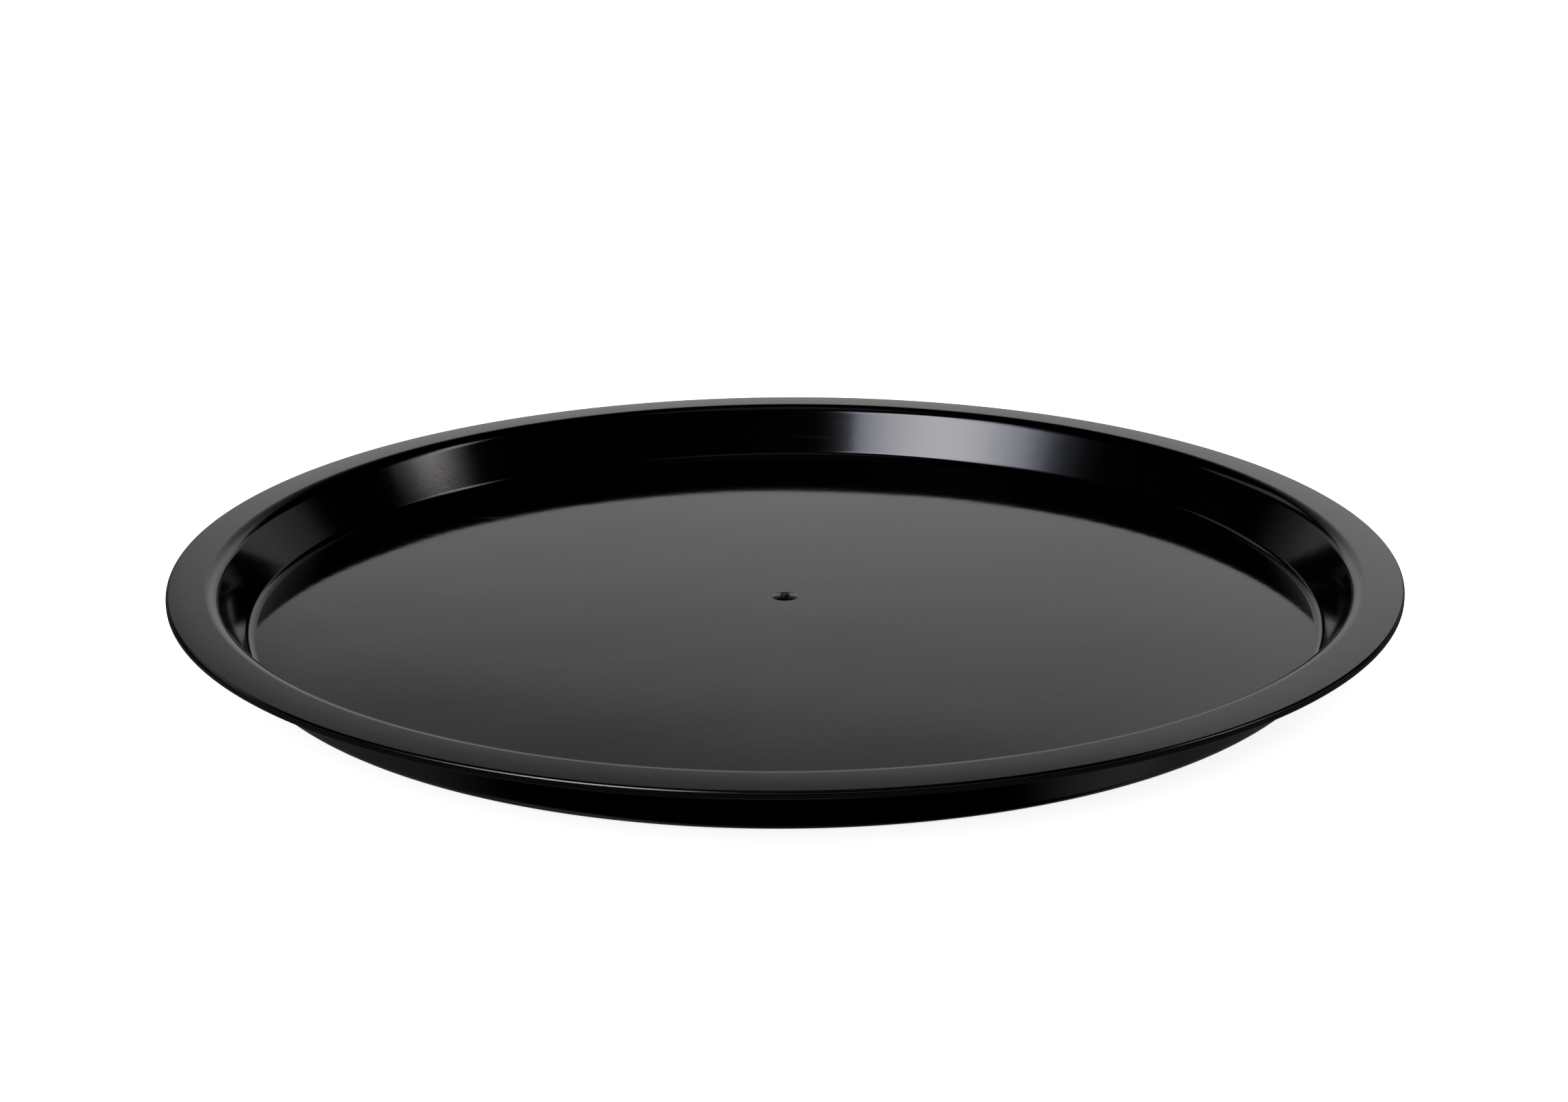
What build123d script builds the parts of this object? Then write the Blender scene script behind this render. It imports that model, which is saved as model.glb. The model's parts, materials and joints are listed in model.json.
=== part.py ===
from build123d import *
import os
from math import radians, sin, sqrt, tan

# Round serving tray: one injection moulding in black gloss plastic.
# Every section through the axis is the same, so the whole body is one
# closed half-section turned about Z.
# Frame: origin at the centre of the plane the tray stands on, +Z up.
# All sizes in millimetres.

# ---- driving dimensions -------------------------------------------------
rim_radius = 175.0          # outer edge of the rim: a 350 mm tray
depth = 16.5                # floor of the tray up to the top of the rim
floor_thickness = 2.5
wall_thickness = 2.5
rim_edge_thickness = 2.0    # the rim thins slightly towards its edge

floor_corner_radius = 154.03    # where floor and wall would meet with no cove
wall_slope = 64.6               # degrees from horizontal
cove_radius = 3.0               # concave fillet at the foot of the wall
shoulder_radius = 4.5           # convex fillet at the head of the wall
rim_crown_radius = 300.0        # the rim's top is very slightly crowned
rim_apex_radius = 170.0         # highest circle of the crown
edge_round_top = 0.7
edge_round_bottom = 0.5

foot_height = 0.8           # low bead under the floor that the tray stands on
foot_width = 4.0
foot_radius = 146.0         # mean radius of the bead
foot_round = 0.35
foot_root = 0.35

gate_radius = 3.9           # low domed button at the centre of the floor
gate_height = 0.45
gate_root = 1.5             # hollow rounding where the button meets the floor
sprue_radius = 1.25         # stub left on the button by the mould's gate
sprue_height = 0.5          # its top, above the top of the button
sprue_round = 0.3

# ---- levels and section points -------------------------------------------
z_floor = foot_height + floor_thickness        # upper face of the floor
z_under = foot_height                          # under face of the floor
z_rim = z_floor + depth                        # top of the rim
slope = tan(radians(wall_slope))


def crown_z(r):
    """Height of the crowned top of the rim at radius r."""
    return z_rim - rim_crown_radius + sqrt(rim_crown_radius**2 - (r - rim_apex_radius) ** 2)


def wall_inner_r(z):
    """Radius of the inner face of the wall at height z."""
    return floor_corner_radius + (z - z_floor) / slope


# Head of the wall, where it would meet the crown with no shoulder fillet.
r_head = wall_inner_r(z_rim)
for _ in range(8):
    r_head = wall_inner_r(crown_z(r_head))
z_head = crown_z(r_head)

# Outer face of the wall: parallel to the inner face, one thickness away.
wall_shift = wall_thickness / sin(radians(wall_slope))


def wall_outer_r(z):
    """Radius of the outer face of the wall at height z."""
    return wall_inner_r(z) + wall_shift


z_edge_low = crown_z(rim_radius) - rim_edge_thickness
z_inner_low = z_head - wall_thickness
for _ in range(4):
    z_inner_low = crown_z(wall_outer_r(z_inner_low)) - wall_thickness
r_inner_low = wall_outer_r(z_inner_low)
r_foot_corner = wall_outer_r(z_under)

# Button: circle through its edge with its highest point on the axis.
button_sphere = (gate_radius**2 + gate_height**2) / (2 * gate_height)
z_stub = z_floor + gate_height + sprue_height


def button_z(r):
    """Height of the button's surface at radius r."""
    return z_floor + gate_height - button_sphere + sqrt(button_sphere**2 - r**2)


# ---- the moulding ----------------------------------------------------------
with BuildPart() as tray:
    with BuildSketch(Plane.XZ) as section:
        with BuildLine() as outline:
            # stub and button at the centre, then the floor, the wall and the rim
            Polyline(
                (0, z_under),
                (0, z_stub),
                (sprue_radius, z_stub),
                (sprue_radius + 0.08, button_z(sprue_radius + 0.08)),
            )
            ThreePointArc(
                (sprue_radius + 0.08, button_z(sprue_radius + 0.08)),
                (2.6, button_z(2.6)),
                (gate_radius, z_floor),
            )
            Polyline(
                (gate_radius, z_floor),
                (floor_corner_radius, z_floor),
                (r_head, z_head),
            )
            ThreePointArc(
                (r_head, z_head),
                (0.5 * (r_head + rim_radius), crown_z(0.5 * (r_head + rim_radius))),
                (rim_radius, crown_z(rim_radius)),
            )
            # rim edge, then back underneath to the axis
            Polyline(
                (rim_radius, crown_z(rim_radius)),
                (rim_radius, z_edge_low),
                (r_inner_low, z_inner_low),
                (r_foot_corner, z_under),
                (foot_radius + foot_width / 2, z_under),
                (foot_radius + foot_width / 2, 0),
                (foot_radius - foot_width / 2, 0),
                (foot_radius - foot_width / 2, z_under),
                (0, z_under),
            )
        make_face()

        def corner(r, z):
            """The section's corner nearest to radius r and height z."""
            return section.vertices().sort_by_distance((r, z, 0))[0]

        fillet(corner(floor_corner_radius, z_floor), cove_radius)
        fillet(corner(r_head, z_head), shoulder_radius)
        fillet(corner(rim_radius, crown_z(rim_radius)), edge_round_top)
        fillet(corner(rim_radius, z_edge_low), edge_round_bottom)
        fillet(corner(r_inner_low, z_inner_low), shoulder_radius - wall_thickness)
        fillet(corner(r_foot_corner, z_under), cove_radius + wall_thickness)
        fillet(corner(foot_radius + foot_width / 2, 0), foot_round)
        fillet(corner(foot_radius - foot_width / 2, 0), foot_round)
        fillet(corner(foot_radius + foot_width / 2, z_under), foot_root)
        fillet(corner(foot_radius - foot_width / 2, z_under), foot_root)
        fillet(corner(gate_radius, z_floor), gate_root)
        fillet(corner(sprue_radius, z_stub), sprue_round)
    revolve(axis=Axis.Z, revolution_arc=360)

tray.part.label = "tray"

os.makedirs("parts", exist_ok=True)
export_step(tray.part, "parts/tray.step")

box = tray.part.bounding_box()
print("tray volume mm3", round(tray.part.volume, 1), "valid", tray.part.is_valid)
print("box", box.min, box.max)
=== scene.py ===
import json
import math

import bmesh
import bpy
import numpy as np
from mathutils import Matrix, Vector


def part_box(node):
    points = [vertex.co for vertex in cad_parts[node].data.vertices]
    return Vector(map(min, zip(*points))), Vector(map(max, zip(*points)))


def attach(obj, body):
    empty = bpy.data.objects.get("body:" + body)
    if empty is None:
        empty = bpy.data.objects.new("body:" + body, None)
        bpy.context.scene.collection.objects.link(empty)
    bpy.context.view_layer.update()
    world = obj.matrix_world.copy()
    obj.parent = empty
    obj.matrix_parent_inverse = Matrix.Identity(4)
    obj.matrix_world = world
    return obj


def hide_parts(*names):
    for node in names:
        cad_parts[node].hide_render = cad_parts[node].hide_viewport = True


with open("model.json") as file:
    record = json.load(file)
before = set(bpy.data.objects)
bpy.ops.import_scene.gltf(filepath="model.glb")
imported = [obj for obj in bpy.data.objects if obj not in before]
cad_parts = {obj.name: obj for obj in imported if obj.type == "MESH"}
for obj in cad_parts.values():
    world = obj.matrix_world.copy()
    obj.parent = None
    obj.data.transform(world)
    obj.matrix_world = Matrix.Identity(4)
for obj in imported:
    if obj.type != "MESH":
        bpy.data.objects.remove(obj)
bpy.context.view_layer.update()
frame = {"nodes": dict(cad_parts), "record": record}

scene = bpy.context.scene
record = frame["record"]

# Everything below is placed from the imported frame: the tray's own box and the
# serving floor's mount. Section sizes are in millimetres, as in the CAD.
box_lo, box_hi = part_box("tray")
RIM = 1000.0 * round(0.5 * (box_hi.x - box_lo.x), 5)
TOP = 1000.0 * round(box_hi.z, 5)
FLOOR = 1000.0 * next(m["pos_m"][2] for m in record["mounts"] if m["name"] == "serving_floor")


# --------------------------------------------------------------------------
# camera: fitted to the rim, wall, cove and underside outlines
# --------------------------------------------------------------------------
def make_camera():
    radius = RIM / 1000.0
    focal_px, distance, elevation = 3208.6506, 3.6899 * radius, math.radians(19.3308)
    pan, tilt, roll = math.radians(0.0214), math.radians(-1.1838), math.radians(-0.3032)
    centre = np.array([0.0, -math.cos(elevation), math.sin(elevation)]) * distance
    forward = -centre / distance
    right = np.array([1.0, 0.0, 0.0])
    up = np.cross(right, forward)

    def rx(a):
        c, s = math.cos(a), math.sin(a)
        return np.array([[1, 0, 0], [0, c, -s], [0, s, c]])

    def ry(a):
        c, s = math.cos(a), math.sin(a)
        return np.array([[c, 0, s], [0, 1, 0], [-s, 0, c]])

    def rz(a):
        c, s = math.cos(a), math.sin(a)
        return np.array([[c, -s, 0], [s, c, 0], [0, 0, 1]])

    turn = rz(roll) @ rx(tilt) @ ry(pan) @ np.array([right, -up, forward])
    data = bpy.data.cameras.new("camera")
    cam = bpy.data.objects.new("camera", data)
    scene.collection.objects.link(cam)
    place = centre + np.array([0.0, 0.0, FLOOR / 1000.0])
    cam.matrix_world = Matrix((
        (turn[0][0], -turn[1][0], -turn[2][0], place[0]),
        (turn[0][1], -turn[1][1], -turn[2][1], place[1]),
        (turn[0][2], -turn[1][2], -turn[2][2], place[2]),
        (0, 0, 0, 1),
    ))
    data.sensor_fit = "HORIZONTAL"
    data.sensor_width = 36.0
    data.lens = focal_px * 36.0 / 2296.0
    data.clip_start, data.clip_end = 0.01, 100.0
    scene.camera = cam


make_camera()


# --------------------------------------------------------------------------
# the tray's half-section, with every rounding as a fine arc
# --------------------------------------------------------------------------
DEPTH = TOP - FLOOR
UNDER = 0.8                    # foot bead height: under face of the floor
SLOPE = math.radians(64.6)     # wall, from horizontal
CORNER = 154.03                # where floor and wall would meet
COVE, SHOULDER = 3.0, 4.5
WALL, RIM_EDGE = 2.5, 2.0
CROWN, APEX = 300.0, 170.0
EDGE_TOP, EDGE_LOW = 0.7, 0.5
FOOT_R, FOOT_W, FOOT_ROUND, FOOT_ROOT = 146.0, 4.0, 0.35, 0.35
GATE_R, GATE_H, GATE_ROOT = 3.9, 0.45, 1.5
STUB_R, STUB_H, STUB_ROUND = 1.25, 0.5, 0.3

crown_c = (APEX, TOP - CROWN)


def crown_z(r):
    return crown_c[1] + math.sqrt(CROWN**2 - (r - APEX) ** 2)


def wall_r(z, shift=0.0):
    return CORNER + (z - FLOOR) / math.tan(SLOPE) + shift


def arc(centre, radius, a0, a1, step):
    """Points of an arc from angle a0 to a1, in degrees, both ends included."""
    n = max(2, int(math.ceil(abs(a1 - a0) / step)))
    return [
        (
            centre[0] + radius * math.cos(math.radians(a0 + (a1 - a0) * i / n)),
            centre[1] + radius * math.sin(math.radians(a0 + (a1 - a0) * i / n)),
        )
        for i in range(n + 1)
    ]


def line(p, q, fractions):
    return [(p[0] + (q[0] - p[0]) * f, p[1] + (q[1] - p[1]) * f) for f in fractions]


def held(p, q, inset, spacing):
    """Points strictly between p and q: one just inside each end, so that the
    smooth normals of the flat stay exact, and evenly spaced ones between."""
    length = math.hypot(q[0] - p[0], q[1] - p[1])
    inset = min(inset, 0.25 * length)
    n = max(1, int(round((length - 2 * inset) / spacing)))
    return line(p, q, [(inset + (length - 2 * inset) * i / n) / length for i in range(n + 1)])


def rounded(p, corner, q, radius, step):
    """The arc that rounds a corner between two straight runs."""
    a = np.array(p, float) - corner
    b = np.array(q, float) - corner
    a, b = a / np.linalg.norm(a), b / np.linalg.norm(b)
    half = 0.5 * math.acos(float(np.clip(a @ b, -1, 1)))
    bis = (a + b) / np.linalg.norm(a + b)
    c = np.array(corner) + bis * radius / math.sin(half)
    t0 = np.array(corner) + a * radius / math.tan(half)
    t1 = np.array(corner) + b * radius / math.tan(half)
    a0 = math.degrees(math.atan2(t0[1] - c[1], t0[0] - c[0]))
    a1 = math.degrees(math.atan2(t1[1] - c[1], t1[0] - c[0]))
    while a1 - a0 > 180:
        a1 -= 360
    while a1 - a0 < -180:
        a1 += 360
    return arc((c[0], c[1]), radius, a0, a1, step)


def section():
    """[(radius, height, segments round)], from the axis on top to the axis below."""
    out = []

    def add(points, segments):
        for r, z in points:
            if out and math.hypot(out[-1][0] - r, out[-1][1] - z) < 1e-6:
                continue
            out.append((r, z, segments))

    # gate stub and domed button
    sphere = (GATE_R**2 + GATE_H**2) / (2 * GATE_H)
    dome_c = (0.0, FLOOR + GATE_H - sphere)

    def dome_z(r):
        return dome_c[1] + math.sqrt(sphere**2 - r**2)

    top = FLOOR + GATE_H + STUB_H
    foot = (STUB_R + 0.08, dome_z(STUB_R + 0.08))
    add([(0.0, top), (0.3, top)], 24)
    add([(0.6, top), (0.9, top)], 48)
    rim = rounded((0.0, top), (STUB_R, top), foot, STUB_ROUND, 8)
    add(rim, 96)
    add(held(rim[-1], foot, 0.04, 0.2), 96)
    add([foot], 96)
    # the hollow rounding stands on the floor and touches the button
    root_c = (math.sqrt((sphere + GATE_ROOT) ** 2 - (GATE_ROOT - GATE_H + sphere) ** 2), FLOOR + GATE_ROOT)
    d = np.array(root_c) - np.array(dome_c)
    d = d / np.linalg.norm(d)
    r_leave = root_c[0] - GATE_ROOT * d[0]
    a_leave = math.degrees(math.atan2(-d[1], -d[0]))
    n = 12
    for i in range(1, n + 1):
        r = foot[0] + (r_leave - foot[0]) * i / n
        add([(r, dome_z(r))], 96)
    add(arc(root_c, GATE_ROOT, a_leave, -90, 2)[1:], 96)
    add([(root_c[0] + 0.06, FLOOR)], 96)
    # the floor: rings close enough for its slight unevenness
    add([(r, FLOOR) for r in (4.4, 5.0, 6.2, 8.0)], 96)
    add([(r, FLOOR) for r in np.arange(10.5, 36.0, 2.6)], 120)
    add([(r, FLOOR) for r in np.arange(37.5, 76.0, 2.75)], 240)
    add([(r, FLOOR) for r in np.arange(78.5, 150.0, 2.75)], 480)
    cove_c = (wall_r(FLOOR + COVE) - COVE / math.sin(SLOPE), FLOOR + COVE)
    add([(cove_c[0] - 0.9, FLOOR), (cove_c[0] - 0.12, FLOOR)], 480)
    add(arc(cove_c, COVE, -90, -90 + 64.6, 3.0), 480)
    wall_foot = out[-1][:2]
    # shoulder fillet: its centre is tangent to the wall and to the crown
    along = np.array([math.cos(SLOPE), math.sin(SLOPE)])
    inward = np.array([-math.sin(SLOPE), math.cos(SLOPE)])
    lo, hi = 5.0, 25.0
    for _ in range(60):
        mid = 0.5 * (lo + hi)
        p = np.array([CORNER, FLOOR]) + along * mid - inward * SHOULDER
        if np.hypot(*(p - crown_c)) < CROWN - SHOULDER:
            lo = mid
        else:
            hi = mid
    p = np.array([CORNER, FLOOR]) + along * lo - inward * SHOULDER
    shoulder_c = (float(p[0]), float(p[1]))
    wall_head = tuple(np.array(shoulder_c) + inward * SHOULDER)
    a_crown = math.degrees(math.atan2(shoulder_c[1] - crown_c[1], shoulder_c[0] - crown_c[0]))
    add(held(wall_foot, wall_head, 0.12, 2.0), 480)
    add(arc(shoulder_c, SHOULDER, 90 + 64.6, a_crown, 2.8), 480)
    # the crown, through its highest circle, and the rounded edge
    edge_c = (RIM - EDGE_TOP, crown_c[1] + math.sqrt((CROWN - EDGE_TOP) ** 2 - (RIM - EDGE_TOP - APEX) ** 2))
    a_edge = math.degrees(math.atan2(edge_c[1] - crown_c[1], edge_c[0] - crown_c[0]))
    add(arc(crown_c, CROWN, a_crown - 0.05, 90.0, 0.6), 480)
    add(arc(crown_c, CROWN, 90.0, a_edge + 0.05, 0.4), 480)
    add(arc(edge_c, EDGE_TOP, a_edge, 0, 7.5), 480)
    # underside, back to the axis
    edge_low = crown_z(RIM) - RIM_EDGE
    shift = WALL / math.sin(SLOPE)
    inner_low = edge_low
    for _ in range(8):
        inner_low = crown_z(wall_r(inner_low, shift)) - WALL
    low = (RIM, edge_low)
    knee = (wall_r(inner_low, shift), inner_low)
    heel = (wall_r(UNDER, shift), UNDER)
    bead_o, bead_i = FOOT_R + FOOT_W / 2, FOOT_R - FOOT_W / 2
    a = rounded(out[-1][:2], low, knee, EDGE_LOW, 12)
    add(held(out[-1][:2], a[0], 0.06, 0.5), 480)
    add(a, 480)
    b = rounded(low, knee, heel, SHOULDER - WALL, 8)
    add(held(a[-1], b[0], 0.1, 3.0), 480)
    add(b, 480)
    c = rounded(knee, heel, (bead_o, UNDER), COVE + WALL, 7)
    add(held(b[-1], c[0], 0.12, 3.0), 480)
    add(c, 480)
    last = c[-1]
    corners = [
        ((bead_o, UNDER), FOOT_ROOT),
        ((bead_o, 0.0), FOOT_ROUND),
        ((bead_i, 0.0), FOOT_ROUND),
        ((bead_i, UNDER), FOOT_ROOT),
    ]
    ends = [c[-1]] + [k[0] for k in corners] + [(0.0, UNDER)]
    for i, (k, radius) in enumerate(corners):
        e = rounded(ends[i], k, ends[i + 2], radius, 18)
        add(held(last, e[0], 0.05, 1.6), 480)
        add(e, 480)
        last = e[-1]
    add([(last[0] - 0.15, UNDER), (138.0, UNDER), (122.0, UNDER), (104.0, UNDER)], 480)
    add([(86.0, UNDER), (68.0, UNDER), (52.0, UNDER)], 240)
    add([(40.0, UNDER), (30.0, UNDER), (22.0, UNDER)], 120)
    add([(14.0, UNDER), (8.0, UNDER)], 60)
    add([(4.0, UNDER), (1.6, UNDER)], 30)
    add([(0.0, UNDER)], 30)
    return out


def lathe(name, rows):
    """A closed, watertight turned mesh. Rings may halve or double their segments."""
    me = bpy.data.meshes.new(name)
    verts, rings = [], []
    for r, z, n in rows:
        if r < 1e-9:
            rings.append([len(verts)])
            verts.append((0.0, 0.0, z / 1000.0))
            continue
        start = len(verts)
        for j in range(n):
            t = 2 * math.pi * j / n
            verts.append((r * math.cos(t) / 1000.0, r * math.sin(t) / 1000.0, z / 1000.0))
        rings.append(list(range(start, start + n)))
    faces = []
    for a, b in zip(rings, rings[1:]):
        na, nb = len(a), len(b)
        if na == 1:
            faces += [(a[0], b[j], b[(j + 1) % nb]) for j in range(nb)]
        elif nb == 1:
            faces += [(a[j], b[0], a[(j + 1) % na]) for j in range(na)]
        elif na == nb:
            faces += [(a[j], b[j], b[(j + 1) % nb], a[(j + 1) % na]) for j in range(na)]
        else:
            # rings whose counts differ are stitched in step with their angles
            i = j = 0
            while i < na or j < nb:
                if j < nb and (i >= na or (j + 1) * na <= (i + 1) * nb):
                    faces.append((a[i % na], b[j % nb], b[(j + 1) % nb]))
                    j += 1
                else:
                    faces.append((a[i % na], b[j % nb], a[(i + 1) % na]))
                    i += 1
    me.from_pydata(verts, [], faces)
    me.validate()
    me.update()
    ob = bpy.data.objects.new(name, me)
    scene.collection.objects.link(ob)
    return ob


def settle_floor(ob):
    """The moulded floor isn't a perfect mirror plane: waves of a few hundredths
    of a millimetre, which fade out at the cove and at the gate button."""
    me = ob.data
    co = np.zeros(len(me.vertices) * 3)
    me.vertices.foreach_get("co", co)
    co = co.reshape(-1, 3)
    x, y, z = co[:, 0] * 1000, co[:, 1] * 1000, co[:, 2] * 1000
    r = np.hypot(x, y)
    waves = [
        (118.0, 0.060, 20.0, 0.4), (87.0, 0.055, 81.0, 1.9), (64.0, 0.045, 137.0, 4.1),
        (47.0, 0.035, 52.0, 2.7), (36.0, 0.030, 113.0, 0.9), (27.0, 0.020, 7.0, 5.2),
        (21.0, 0.015, 96.0, 3.3),
    ]
    h = np.zeros(len(x))
    for length, slope, heading, phase in waves:
        k = 2 * math.pi / length
        a = math.radians(heading)
        h += math.radians(slope) / k * np.sin(k * (x * math.cos(a) + y * math.sin(a)) + phase)

    def smooth(v):
        v = np.clip(v, 0, 1)
        return v * v * (3 - 2 * v)

    weight = smooth((r - 5.0) / 14.0) * smooth((150.4 - r) / 14.0)
    on_top = (np.abs(z - FLOOR) < 1e-6) & (r > 4.4) & (r < 150.4)
    co[:, 2] += np.where(on_top, h * weight, 0.0) / 1000.0
    me.vertices.foreach_set("co", co.ravel())
    me.update()


tray = lathe("moulded_tray", section())
settle_floor(tray)
bm = bmesh.new()
bm.from_mesh(tray.data)
volume = bm.calc_volume(signed=True)
loose = sum(1 for e in bm.edges if not e.is_manifold)
triangles = sum(len(f.verts) - 2 for f in bm.faces)
print("tray mesh: volume mm3", round(volume * 1e9, 1), "non-manifold edges", loose, "triangles", triangles)
bm.free()
for polygon in tray.data.polygons:
    polygon.use_smooth = True
# the only true crease: where the stub's flank stands on the button
if hasattr(tray.data, "set_sharp_from_angle"):
    tray.data.set_sharp_from_angle(angle=math.radians(40))


# --------------------------------------------------------------------------
# node helpers
# --------------------------------------------------------------------------
class Tree:
    """A few short words for building node trees."""

    def __init__(self, tree):
        self.tree = tree
        tree.nodes.clear()

    def node(self, kind, **values):
        n = self.tree.nodes.new(kind)
        for k, v in values.items():
            setattr(n, k, v)
        return n

    def feed(self, socket, value):
        if isinstance(value, bpy.types.NodeSocket):
            self.tree.links.new(value, socket)
        else:
            socket.default_value = value

    def math(self, op, a, b=None, c=None, clamp=False):
        n = self.node("ShaderNodeMath", operation=op, use_clamp=clamp)
        self.feed(n.inputs[0], a)
        if b is not None:
            self.feed(n.inputs[1], b)
        if c is not None:
            self.feed(n.inputs[2], c)
        return n.outputs[0]

    def mul(self, *items):
        out = items[0]
        for i in items[1:]:
            out = self.math("MULTIPLY", out, i)
        return out

    def add(self, *items):
        out = items[0]
        for i in items[1:]:
            out = self.math("ADD", out, i)
        return out

    def rise(self, x, a, b):
        """0 below a, 1 above b, smooth between."""
        n = self.node("ShaderNodeMapRange", interpolation_type="SMOOTHSTEP", clamp=True)
        self.feed(n.inputs["Value"], x)
        n.inputs["From Min"].default_value, n.inputs["From Max"].default_value = a, b
        n.inputs["To Min"].default_value, n.inputs["To Max"].default_value = 0.0, 1.0
        return n.outputs["Result"]

    def fall(self, x, a, b):
        n = self.node("ShaderNodeMapRange", interpolation_type="SMOOTHSTEP", clamp=True)
        self.feed(n.inputs["Value"], x)
        n.inputs["From Min"].default_value, n.inputs["From Max"].default_value = a, b
        n.inputs["To Min"].default_value, n.inputs["To Max"].default_value = 1.0, 0.0
        return n.outputs["Result"]

    def window(self, x, a, b, c, d):
        """Rises from a to b and falls from c to d."""
        return self.mul(self.rise(x, a, b), self.fall(x, c, d))

    def curve(self, x, stops):
        """A piecewise linear curve of x through (position, value) stops."""
        lo, hi = stops[0][0], stops[-1][0]
        peak = max(v for _, v in stops)
        n = self.node("ShaderNodeMapRange", interpolation_type="LINEAR", clamp=True)
        self.feed(n.inputs["Value"], x)
        n.inputs["From Min"].default_value, n.inputs["From Max"].default_value = lo, hi
        n.inputs["To Min"].default_value, n.inputs["To Max"].default_value = 0.0, 1.0
        ramp = self.node("ShaderNodeValToRGB")
        ramp.color_ramp.interpolation = "LINEAR"
        els = ramp.color_ramp.elements
        while len(els) > 2:
            els.remove(els[-1])
        for i, (p, v) in enumerate(stops):
            t = (p - lo) / (hi - lo)
            if i == 0:
                e = els[0]
                e.position = t
            elif i == len(stops) - 1:
                e = els[len(els) - 1]
                e.position = t
            else:
                e = els.new(t)
            e.color = (v / peak, v / peak, v / peak, 1.0)
        self.tree.links.new(n.outputs["Result"], ramp.inputs["Fac"])
        return self.math("MULTIPLY", ramp.outputs["Color"], peak)


# --------------------------------------------------------------------------
# surroundings: a dark studio with a pale backdrop, its wings and two soft boxes.
# az is measured in the tray's plane from +X, el is the height above it.
# --------------------------------------------------------------------------
def make_surroundings():
    world = bpy.data.worlds.new("studio")
    scene.world = world
    world.use_nodes = True
    t = Tree(world.node_tree)
    coord = t.node("ShaderNodeTexCoord")
    parts = t.node("ShaderNodeSeparateXYZ")
    t.feed(parts.inputs[0], coord.outputs["Generated"])
    x, y, z = parts.outputs
    az = t.mul(t.math("ARCTAN2", y, x), 57.29578)
    el = t.mul(t.math("ARCSINE", t.math("MINIMUM", t.math("MAXIMUM", z, -1.0), 1.0)), 57.29578)

    # the backdrop behind the tray
    off = t.math("SUBTRACT", az, 90.0)
    tilt_l = t.math("MINIMUM", t.math("MAXIMUM", t.mul(off, 0.2), 0.0), 3.5)
    tilt_r = t.math("MAXIMUM", t.math("MINIMUM", t.mul(off, 0.07), 0.0), -2.5)
    tall = t.curve(t.add(el, tilt_l, tilt_r), [
        (-12, 0.02), (-8, 0.06), (-6, 0.12), (-4, 0.18), (-1, 0.26), (2, 0.36), (6, 0.50), (9, 0.60),
        (12, 0.66), (14, 0.66), (16, 0.64), (18, 0.59), (20, 0.52), (22, 0.44), (23, 0.35), (24, 0.27),
        (26, 0.21), (30, 0.11), (35, 0.03), (40, 0.0),
    ])
    wide = t.curve(az, [
        (58, 0.0), (62, 0.06), (65, 0.22), (67, 0.85), (70, 1.05), (77, 1.08), (81.4, 1.0), (85, 1.02),
        (90, 1.04), (95, 1.03), (98.6, 1.06), (103, 1.08), (106.5, 0.80), (109, 0.18), (113, 0.05), (120, 0.0),
    ])
    backdrop = t.mul(tall, wide)
    # lower and dimmer wings at its sides
    wings = t.mul(
        t.curve(az, [
            (28, 0.0), (32, 0.10), (37, 0.19), (45, 0.25), (54, 0.30), (64, 0.30), (68, 0.0), (107, 0.0),
            (111, 0.30), (118, 0.29), (123, 0.25), (129, 0.14), (135, 0.07), (141, 0.01), (144, 0.0),
        ]),
        t.window(el, -4, 6, 10.5, 14),
    )

    # tall soft box, front left
    box_wide = t.curve(az, [
        (-172, 0.0), (-167, 0.06), (-162, 0.32), (-159, 0.8), (-156, 2.0), (-151, 4.7), (-145, 6.9),
        (-140, 8.8), (-134, 10.0), (-129, 10.2), (-123, 9.2), (-117, 7.6), (-111, 5.2), (-108.5, 3.6),
        (-107, 0.7), (-103, 0.12), (-99, 0.0),
    ])
    box = t.mul(box_wide, t.window(el, 17, 23, 54, 60))

    # narrow strip light, right, leaning back as it rises
    lean = t.curve(el, [(24, 0.0), (36, 0.5), (42, 2.0), (48, 6.0), (56, 14.0)])
    strip_az = t.math("SUBTRACT", az, lean)
    strip = t.mul(
        t.curve(strip_az, [
            (-11, 0.0), (-9, 0.23), (-8, 0.72), (-6, 1.43), (-4, 2.47), (-2, 3.3), (-1, 4.0), (1, 4.05),
            (3, 3.3), (4, 2.7), (6, 1.5), (8, 0.82), (10, 0.45), (12, 0.0),
        ]),
        t.rise(t.add(el, t.mul(az, 0.26)), 22.9, 24.4),
        t.fall(el, 42, 49),
    )

    # low light on the camera's side and at the left, for the other views
    near = t.mul(0.42, t.window(az, -166, -150, -26, -12), t.window(el, 3, 8, 17, 23))
    far_left = t.mul(0.36, t.add(t.rise(az, 150, 162), t.fall(az, -172, -160)), t.window(el, -2, 4, 9, 15))
    right_low = t.mul(0.36, t.window(az, -20, -10, 20, 30), t.window(el, -2, 4, 9, 15))
    below = t.add(
        t.mul(0.60, t.window(az, -118, -98, -82, -62), t.window(el, -64, -57, -52, -45)),
        t.mul(0.12, t.window(az, -34, -12, 12, 34), t.window(el, -64, -57, -52, -45)),
        t.mul(0.12, t.window(az, 92, 122, 148, 178), t.window(el, -76, -68, -62, -54)),
        t.mul(0.07, t.window(el, -60, -50, -24, -10)),
    )

    # a pale panel far left, above the wing: it shows in the floor from the right
    panel = t.mul(0.42, t.window(az, 112, 124, 148, 160), t.window(el, 22, 26, 31, 35))
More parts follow.
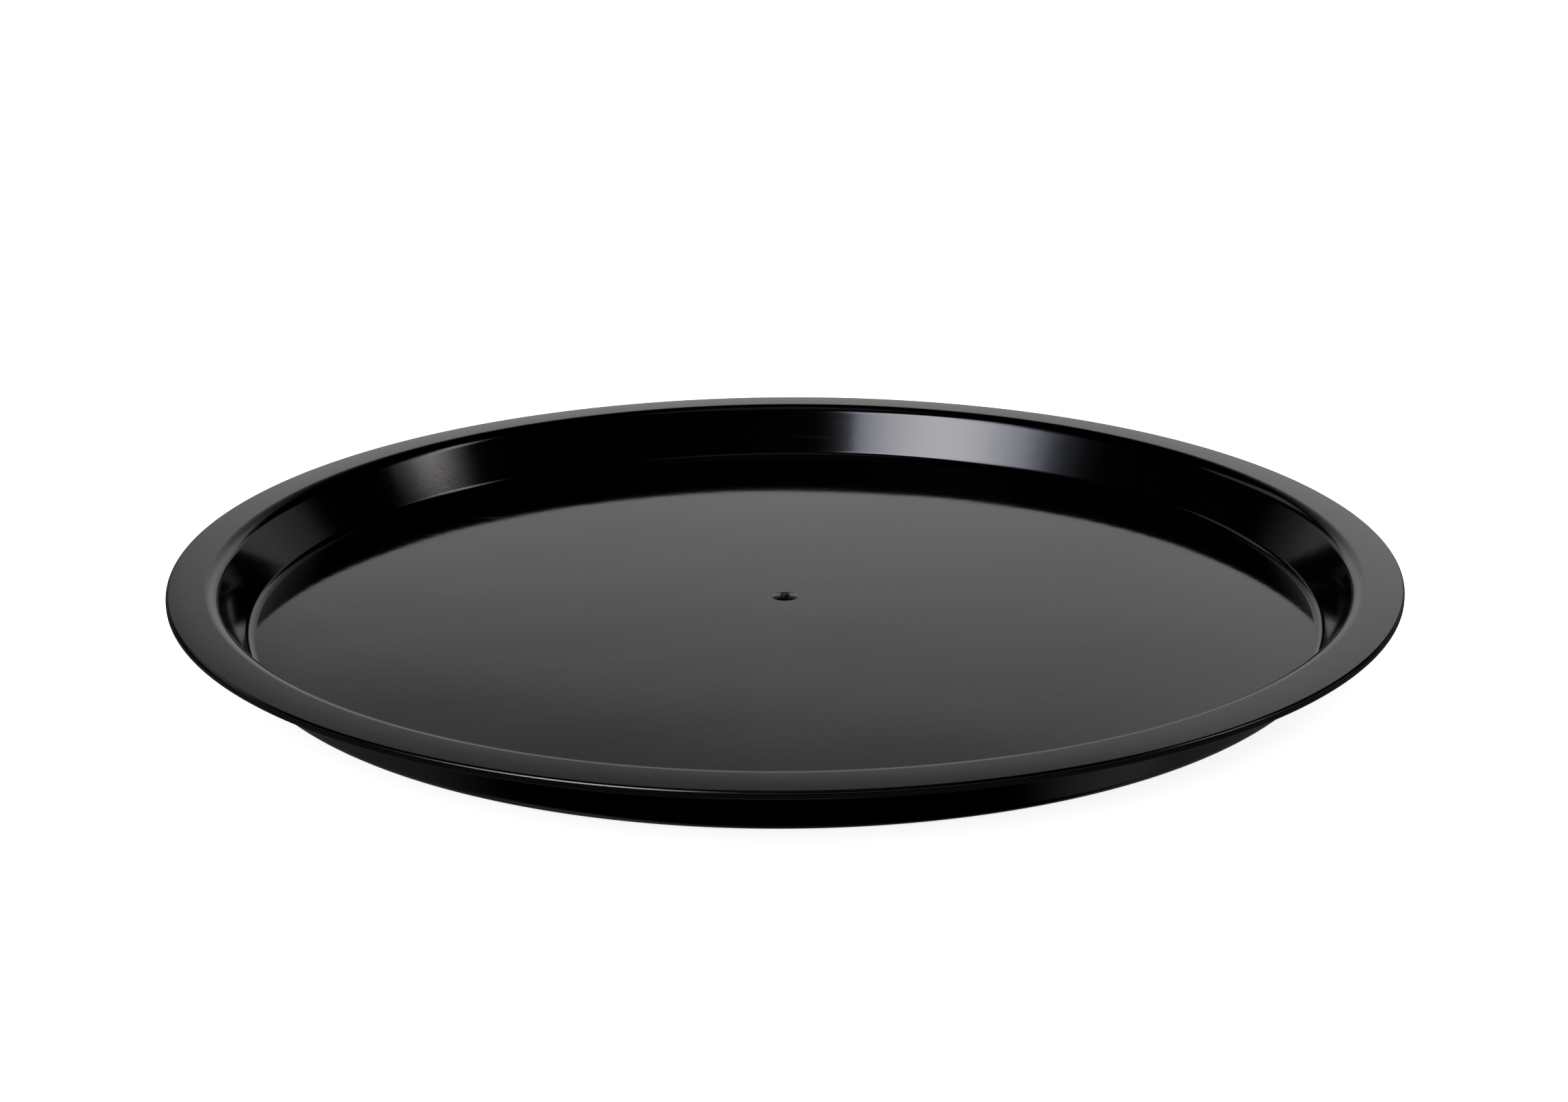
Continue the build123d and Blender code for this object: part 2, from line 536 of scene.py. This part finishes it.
    # a dim ceiling panel: it shows in the floor from straight above
    ceiling = t.mul(0.15, t.rise(el, 72, 80))
    # the near side's glow carries on upwards: it shows in the floor from behind
    near_high = t.mul(0.36, t.window(az, -134, -116, -64, -46), t.window(el, 17, 23, 27.5, 30))
    plain = t.add(backdrop, wings, panel, ceiling, near, near_high, far_left, right_low, below)
    # the soft box is bluish where it thins out, the strip light faintly warm
    thin = t.fall(box, 3.0, 9.6)
    tint = t.node("ShaderNodeCombineXYZ")
    t.feed(tint.inputs[0], t.add(plain, t.mul(strip, 1.04), t.mul(box, t.math("MULTIPLY_ADD", thin, -0.09, 0.985))))
    t.feed(tint.inputs[1], t.add(plain, t.mul(strip, 0.98), t.mul(box, t.math("MULTIPLY_ADD", thin, -0.01, 0.975))))
    t.feed(tint.inputs[2], t.add(t.mul(plain, 1.01), t.mul(strip, 0.98), t.mul(box, t.math("MULTIPLY_ADD", thin, 0.11, 1.035))))
    seen = t.node("ShaderNodeBackground")
    seen.inputs["Color"].default_value = (1, 1, 1, 1)
    lit = t.node("ShaderNodeBackground")
    t.feed(lit.inputs["Color"], tint.outputs[0])
    path = t.node("ShaderNodeLightPath")
    mix = t.node("ShaderNodeMixShader")
    out = t.node("ShaderNodeOutputWorld")
    t.feed(mix.inputs[0], path.outputs["Is Camera Ray"])
    t.feed(mix.inputs[1], lit.outputs[0])
    t.feed(mix.inputs[2], seen.outputs[0])
    t.feed(out.inputs["Surface"], mix.outputs[0])
    world.cycles.sampling_method = "MANUAL"
    world.cycles.sample_map_resolution = 1024
    # the backdrop and soft boxes show in the gloss; the floor has its own light
    world.cycles_visibility.diffuse = False


make_surroundings()


# --------------------------------------------------------------------------
# black gloss plastic
# --------------------------------------------------------------------------
def make_plastic():
    mat = bpy.data.materials.new("tray_plastic")
    mat.use_nodes = True
    t = Tree(mat.node_tree)
    out = t.node("ShaderNodeOutputMaterial")
    bsdf = t.node("ShaderNodeBsdfPrincipled")
    t.feed(out.inputs["Surface"], bsdf.outputs[0])
    bsdf.inputs["IOR"].default_value = 1.5
    bsdf.inputs["Metallic"].default_value = 0.0

    coord = t.node("ShaderNodeTexCoord").outputs["Object"]
    xyz = t.node("ShaderNodeSeparateXYZ")
    t.feed(xyz.inputs[0], coord)
    x, y, z = xyz.outputs
    radius = t.math("SQRT", t.add(t.mul(x, x), t.mul(y, y)))

    def noise(scale, detail=2.0, rough=0.5, vector=coord, distortion=0.0):
        n = t.node("ShaderNodeTexNoise")
        t.feed(n.inputs["Vector"], vector)
        n.inputs["Scale"].default_value = scale
        n.inputs["Detail"].default_value = detail
        n.inputs["Roughness"].default_value = rough
        n.inputs["Distortion"].default_value = distortion
        return n.outputs["Fac"]

    broad = noise(14.0, 2.0)            # 70 mm clouds: uneven polish of the mould
    cloud = noise(55.0, 3.0)            # 18 mm
    grain = noise(1500.0, 2.0, 0.6)     # 0.7 mm grain
    micro = noise(5200.0, 1.0, 0.5)     # 0.2 mm

    # flow marks: faint spokes from the gate, from angle and radius
    angle = t.math("ARCTAN2", y, x)
    spoke_at = t.node("ShaderNodeCombineXYZ")
    t.feed(spoke_at.inputs[0], t.mul(t.math("COSINE", angle), 6.0))
    t.feed(spoke_at.inputs[1], t.mul(t.math("SINE", angle), 6.0))
    t.feed(spoke_at.inputs[2], t.mul(radius, 9.0))
    spokes = noise(2.2, 3.0, 0.55, spoke_at.outputs[0])

    # fine hairline scuffs from wiping and stacking: thin stretched noise
    def scuffs(heading, scale, width):
        turn = t.node("ShaderNodeMapping")
        turn.inputs["Rotation"].default_value = (0, 0, math.radians(heading))
        turn.inputs["Scale"].default_value = (0.06, 1.0, 1.0)
        t.feed(turn.inputs["Vector"], coord)
        n = noise(scale, 1.0, 0.5, turn.outputs[0], 0.2)
        return t.mul(t.rise(n, 0.66, 0.66 + width), 1.0)

    hair = t.math("MAXIMUM", scuffs(23, 620.0, 0.08), scuffs(-51, 540.0, 0.08))
    patches = t.rise(noise(9.0, 1.0), 0.45, 0.7)
    hair = t.mul(hair, patches)

    # rubbed places: the foot bead's sole, the rim's outer edge
    sole = t.fall(z, 0.00005, 0.0005)
    edge = t.mul(t.rise(radius, 0.1738, 0.1748), 1.0)
    rub = t.math("MAXIMUM", t.mul(sole, 0.85), t.mul(edge, t.mul(0.5, cloud)))

    # the gate mark: the button is dull, the stub's broken top duller
    gate = t.fall(radius, 0.0036, 0.0041)
    broken = t.mul(t.fall(radius, 0.00132, 0.00140), t.rise(z, 0.0038, 0.0041))

    rough = t.add(
        0.056,
        t.mul(t.rise(radius, 0.1515, 0.1550), 0.042),
        t.mul(gate, 0.12),
        t.mul(broken, 0.40),
        t.mul(t.math("SUBTRACT", broad, 0.5), 0.022),
        t.mul(t.math("SUBTRACT", cloud, 0.5), 0.014),
        t.mul(t.math("SUBTRACT", grain, 0.5), 0.022),
        t.mul(t.math("SUBTRACT", spokes, 0.5), 0.012),
        t.mul(hair, 0.05),
        t.mul(rub, 0.22),
    )
    t.feed(bsdf.inputs["Roughness"], t.math("MINIMUM", t.math("MAXIMUM", rough, 0.03), 0.6))

    shade = t.node("ShaderNodeMix", data_type="RGBA")
    shade.inputs["A"].default_value = (0.0095, 0.0095, 0.0103, 1)
    shade.inputs["B"].default_value = (0.0130, 0.0128, 0.0131, 1)
    t.feed(shade.inputs["Factor"], t.math("MULTIPLY_ADD", cloud, 0.6, t.mul(broad, 0.4)))
    worn = t.node("ShaderNodeMix", data_type="RGBA")
    t.feed(worn.inputs["Factor"], t.mul(t.math("MAXIMUM", rub, t.mul(hair, 0.25)), 0.5))
    t.feed(worn.inputs["A"], shade.outputs["Result"])
    worn.inputs["B"].default_value = (0.030, 0.030, 0.031, 1)
    t.feed(bsdf.inputs["Base Color"], worn.outputs["Result"])

    # relief: grain of about a micron, hairlines, orange peel
    peel = noise(230.0, 2.0, 0.5)       # 4 mm orange peel
    b1 = t.node("ShaderNodeBump")
    b1.inputs["Strength"].default_value = 1.0
    b1.inputs["Distance"].default_value = 0.0000085
    t.feed(b1.inputs["Height"], peel)
    b2 = t.node("ShaderNodeBump")
    b2.inputs["Strength"].default_value = 1.0
    b2.inputs["Distance"].default_value = 0.0000032
    t.feed(b2.inputs["Height"], t.add(t.mul(grain, 1.0), t.mul(micro, 0.25), t.mul(hair, -0.6)))
    t.feed(b2.inputs["Normal"], b1.outputs[0])
    t.feed(bsdf.inputs["Normal"], b2.outputs[0])
    return mat


plastic = make_plastic()
tray.data.materials.append(plastic)
frame["nodes"]["tray"].data.materials.clear()
frame["nodes"]["tray"].data.materials.append(plastic)

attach(tray, "root")
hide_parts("tray")


# --------------------------------------------------------------------------
# floor and its light
# --------------------------------------------------------------------------
def make_floor():
    size = 12.0
    me = bpy.data.meshes.new("floor")
    z = float(box_lo.z) - 0.00002
    me.from_pydata([(-size, -size, z), (size, -size, z), (size, size, z), (-size, size, z)], [], [(0, 1, 2, 3)])
    ob = bpy.data.objects.new("floor", me)
    scene.collection.objects.link(ob)
    mat = bpy.data.materials.new("floor_paper")
    mat.use_nodes = True
    t = Tree(mat.node_tree)
    out = t.node("ShaderNodeOutputMaterial")
    bsdf = t.node("ShaderNodeBsdfDiffuse")
    bsdf.inputs["Color"].default_value = (0.9, 0.9, 0.9, 1)
    # a translucent sheet, partly lit from below, so that shadows stay faint
    glow = t.node("ShaderNodeEmission")
    glow.inputs["Color"].default_value = (1, 1, 1, 1)
    glow.inputs["Strength"].default_value = 0.86
    both = t.node("ShaderNodeAddShader")
    t.feed(both.inputs[0], bsdf.outputs[0])
    t.feed(both.inputs[1], glow.outputs[0])
    t.feed(out.inputs["Surface"], both.outputs[0])
    me.materials.append(mat)
    # the dark studio below shows in the tray's gloss, not the white sheet
    ob.visible_glossy = False
    ob.visible_diffuse = False
    lit = bpy.data.collections.new("floor_lit")
    scene.collection.children.link(lit)
    lit.objects.link(ob)

    data = bpy.data.lights.new("floor_light", "SUN")
    data.angle = math.radians(120)
    data.energy = 2.6
    sun = bpy.data.objects.new("floor_light", data)
    scene.collection.objects.link(sun)
    sun.rotation_euler = (math.radians(12), math.radians(-8), 0)
    sun.visible_glossy = False
    sun.visible_camera = False
    sun.light_linking.receiver_collection = lit
    return ob


make_floor()

scene.view_settings.view_transform = "Standard"
scene.view_settings.look = "None"
scene.view_settings.exposure = 0.0
scene.view_settings.gamma = 1.0
